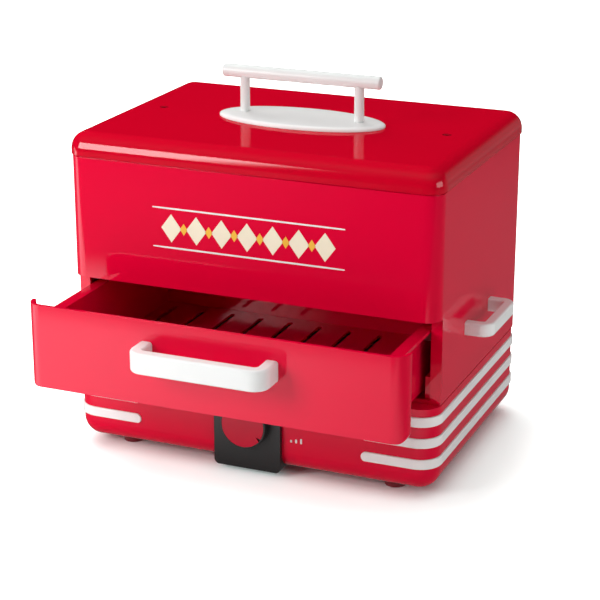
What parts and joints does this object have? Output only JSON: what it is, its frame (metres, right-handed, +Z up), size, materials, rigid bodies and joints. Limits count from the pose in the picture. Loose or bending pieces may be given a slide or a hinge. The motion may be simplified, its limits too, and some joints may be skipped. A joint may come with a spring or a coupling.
{
  "type": "hot dog steamer",
  "caption": "Counter-top food steamer: red moulded base with water tank, heater and dial, housing with a sliding food drawer and a bread chamber above, lift-off lid with a white bar handle.",
  "frame": {"origin": "on the table under the middle of the object's box, with the drawer pulled out as pictured", "axes": "+Z up, front towards -Y, +X to the right seen from the front"},
  "size_m": [0.333, 0.301, 0.2874],
  "materials": {
    "red_plastic": "high-gloss moulded crimson",
    "white_plastic": "gloss moulded white",
    "black_plastic": "satin moulded black",
    "runner_plastic": "satin moulded dark red",
    "foot_rubber": "matt dark red",
    "seal_rubber": "matt black",
    "tank_steel": "pressed and brushed",
    "tray_aluminium": "satin sheet",
    "heater_metal": "oxidised sheath",
    "control_metal": "plated",
    "terminal_plastic": "matt white",
    "screw_steel": "zinc plated"
  },
  "bodies": {
    "body": {"base_shell": "red_plastic", "base_deck": "red_plastic", "housing": "red_plastic", "stripe_upper": "white_plastic", "stripe_middle": "white_plastic", "stripe_lower": "white_plastic", "side_handle_left": "white_plastic", "side_handle_right": "white_plastic", "dial_plate": "black_plastic", "cord_gland": "black_plastic", "runner_left": "runner_plastic", "runner_right": "runner_plastic", "feet": "foot_rubber", "tank_seal": "seal_rubber", "water_tank": "tank_steel", "steam_plate": "tank_steel", "bread_tray": "tray_aluminium", "heating_ring": "heater_metal", "thermostat": "control_metal", "thermal_cutout": "control_metal", "terminal_block": "terminal_plastic", "base_screws": "screw_steel", "housing_screws": "screw_steel", "side_handle_screws": "screw_steel"},
    "drawer": {"drawer_front": "red_plastic", "drawer_tray": "red_plastic", "drawer_floor": "red_plastic", "drawer_handle": "white_plastic", "drawer_screws": "screw_steel"},
    "lid_unit": {"lid": "red_plastic", "lid_oval": "white_plastic", "lid_posts": "white_plastic", "lid_bar": "white_plastic", "lid_screws": "screw_steel"},
    "dial": {"knob": "black_plastic", "knob_face": "red_plastic", "knob_shaft": "control_metal"}
  },
  "joints": [
    {"name": "drawer_slide", "type": "slide", "parent": "body", "child": "drawer", "axis": [0, -1, 0], "range_m": [-0.068, 0.077]},
    {"name": "lid_lift", "type": "slide", "parent": "body", "child": "lid_unit", "axis": [0, 0, 1], "range_m": [0, 0.12]},
    {"name": "knob_turn", "type": "hinge", "parent": "body", "child": "dial", "pos_m": [0, -0.0689, 0.0415], "axis": [0, -1, 0], "range_deg": [0, 210]}
  ]
}
